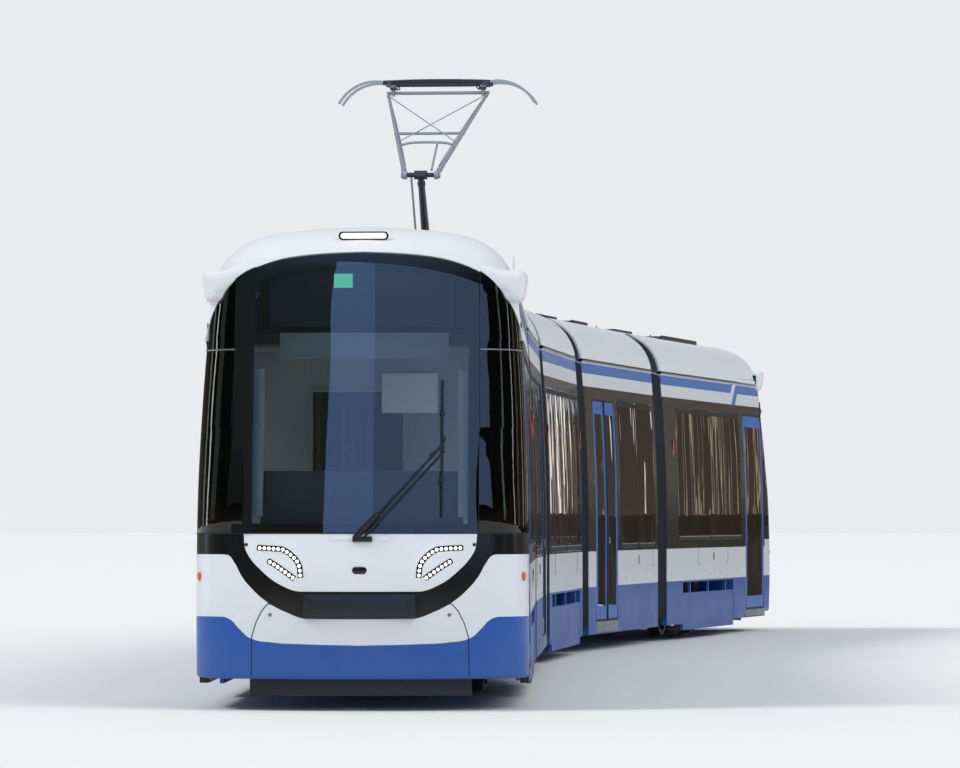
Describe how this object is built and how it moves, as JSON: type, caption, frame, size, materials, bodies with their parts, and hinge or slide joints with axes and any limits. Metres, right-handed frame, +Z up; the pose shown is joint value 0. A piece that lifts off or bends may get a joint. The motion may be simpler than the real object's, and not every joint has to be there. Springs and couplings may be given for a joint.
{
  "type": "articulated low-floor tram",
  "caption": "Bidirectional articulated low-floor tram with short linked sections, bellows, rounded cabs, plug doors, bogies under the cab and centre sections, and a raised pantograph.",
  "frame": {"origin": "middle of the centre section at the rails' top, on its centre line", "axes": "+Z up from the rails; the centre section lies along Y, with the front end facing -Y; +X is to the right of someone who faces the front end"},
  "size_m": [3.7183, 30.1557, 5.6366],
  "materials": {
    "shell_paint": "gloss",
    "roof_paint": "satin",
    "glass": "gloss",
    "steel": "satin",
    "wheel_steel": "worn",
    "black_plastic": "matte",
    "bellows_rubber": "matte",
    "door_blue": "gloss",
    "seat_fabric": "woven",
    "interior_plastic": "matte",
    "carbon_strip": "matte"
  },
  "bodies": {
    "centre": {"centre_shell": "shell_paint", "centre_side_glass": "glass", "centre_bogie_covers": "shell_paint", "centre_seats": "seat_fabric", "centre_bogie_frame": "steel", "centre_roof": "roof_paint", "pantograph_base": "steel", "bellows_front_inner": "bellows_rubber", "bellows_rear_inner": "bellows_rubber"},
    "front_saloon": {"front_saloon_shell": "shell_paint", "front_saloon_side_glass": "glass", "front_saloon_doors": "door_blue", "front_saloon_seats": "seat_fabric", "front_saloon_roof": "roof_paint", "bellows_front_outer": "bellows_rubber"},
    "front_cab": {"front_cab_shell": "shell_paint", "front_cab_nose": "shell_paint", "front_cab_hood": "roof_paint", "front_cab_windscreen": "glass", "front_cab_lamps": "glass", "front_cab_wiper": "black_plastic", "front_cab_side_glass": "glass", "front_cab_doors": "door_blue", "front_cab_bogie_covers": "shell_paint", "front_cab_interior": "interior_plastic", "front_cab_seats": "seat_fabric", "front_cab_life_guard": "steel", "front_cab_bogie_frame": "steel", "front_cab_roof": "roof_paint"},
    "rear_saloon": {"rear_saloon_shell": "shell_paint", "rear_saloon_side_glass": "glass", "rear_saloon_doors": "door_blue", "rear_saloon_seats": "seat_fabric", "rear_saloon_roof": "roof_paint", "bellows_rear_outer": "bellows_rubber"},
    "rear_cab": {"rear_cab_shell": "shell_paint", "rear_cab_nose": "shell_paint", "rear_cab_hood": "roof_paint", "rear_cab_windscreen": "glass", "rear_cab_lamps": "glass", "rear_cab_wiper": "black_plastic", "rear_cab_side_glass": "glass", "rear_cab_doors": "door_blue", "rear_cab_bogie_covers": "shell_paint", "rear_cab_interior": "interior_plastic", "rear_cab_seats": "seat_fabric", "rear_cab_life_guard": "steel", "rear_cab_bogie_frame": "steel", "rear_cab_roof": "roof_paint"},
    "front_cab_wheelset_1": {"front_cab_wheelset_1": "wheel_steel"},
    "front_cab_wheelset_2": {"front_cab_wheelset_2": "wheel_steel"},
    "centre_wheelset_1": {"centre_wheelset_1": "wheel_steel"},
    "centre_wheelset_2": {"centre_wheelset_2": "wheel_steel"},
    "rear_cab_wheelset_1": {"rear_cab_wheelset_1": "wheel_steel"},
    "rear_cab_wheelset_2": {"rear_cab_wheelset_2": "wheel_steel"},
    "lower_arm": {"pantograph_lower_arm": "steel"},
    "upper_arm": {"pantograph_upper_arm": "steel"},
    "coupling_rod": {"pantograph_coupling_rod": "steel"},
    "head": {"pantograph_head": "carbon_strip"}
  },
  "joints": [
    {"name": "front_inner_pivot", "type": "hinge", "parent": "centre", "child": "front_saloon", "pos_m": [0, -2.225, 0.27], "axis": [0, 0, 1], "range_deg": [-19.87, 12.13], "deforming": ["bellows_front_inner"]},
    {"name": "front_outer_pivot", "type": "hinge", "parent": "front_saloon", "child": "front_cab", "pos_m": [0.34421, -7.31337, 0.27], "axis": [0, 0, 1], "range_deg": [-16.82, 15.18], "deforming": ["bellows_front_outer"]},
    {"name": "rear_inner_pivot", "type": "hinge", "parent": "centre", "child": "rear_saloon", "pos_m": [0, 2.225, 0.27], "axis": [0, 0, -1], "range_deg": [-21.25, 10.75], "deforming": ["bellows_rear_inner"]},
    {"name": "rear_outer_pivot", "type": "hinge", "parent": "rear_saloon", "child": "rear_cab", "pos_m": [0.46666, 7.30361, 0.27], "axis": [0, 0, -1], "range_deg": [-17.63, 14.37], "deforming": ["bellows_rear_outer"]},
    {"name": "front_cab_wheelset_1_spin", "type": "hinge", "parent": "front_cab", "child": "front_cab_wheelset_1", "pos_m": [0.66105, -11.1754, 0.295], "axis": [0.9967, 0.0818, 0], "continuous": true},
    {"name": "front_cab_wheelset_2_spin", "type": "hinge", "parent": "front_cab", "child": "front_cab_wheelset_2", "pos_m": [0.50979, -9.33159, 0.295], "axis": [0.9967, 0.0818, 0], "continuous": true},
    {"name": "centre_wheelset_1_spin", "type": "hinge", "parent": "centre", "child": "centre_wheelset_1", "pos_m": [0, -0.925, 0.295], "axis": [1, 0, 0], "continuous": true},
    {"name": "centre_wheelset_2_spin", "type": "hinge", "parent": "centre", "child": "centre_wheelset_2", "pos_m": [0, 0.925, 0.295], "axis": [1, 0, 0], "continuous": true},
    {"name": "rear_cab_wheelset_1_spin", "type": "hinge", "parent": "rear_cab", "child": "rear_cab_wheelset_1", "pos_m": [0.93085, 11.1507, 0.295], "axis": [-0.9928, 0.1198, 0], "continuous": true},
    {"name": "rear_cab_wheelset_2_spin", "type": "hinge", "parent": "rear_cab", "child": "rear_cab_wheelset_2", "pos_m": [0.70923, 9.31402, 0.295], "axis": [-0.9928, 0.1198, 0], "continuous": true},
    {"name": "pantograph_lift", "type": "hinge", "parent": "centre", "child": "lower_arm", "pos_m": [0, -1.315, 3.45], "axis": [-1, 0, 0], "range_deg": [-42, 14]},
    {"name": "pantograph_knee", "type": "hinge", "parent": "lower_arm", "child": "upper_arm", "pos_m": [0, -2.20771, 4.59262], "axis": [-1, 0, 0], "range_deg": [-22.5, 67]},
    {"name": "pantograph_head_pivot", "type": "hinge", "parent": "upper_arm", "child": "head", "pos_m": [0, -0.65752, 5.48762], "axis": [-1, 0, 0], "range_deg": [-25, 8.4]},
    {"name": "pantograph_rod", "type": "hinge", "parent": "centre", "child": "coupling_rod", "pos_m": [-0.11, -1.185, 3.482], "axis": [-1, 0, 0], "range_deg": [-42, 14]}
  ],
  "couplings": [
    {"joint": "pantograph_knee", "follows": "pantograph_lift", "ratio": -1.59},
    {"joint": "pantograph_head_pivot", "follows": "pantograph_lift", "ratio": 0.59},
    {"joint": "pantograph_rod", "follows": "pantograph_lift", "ratio": 1}
  ]
}
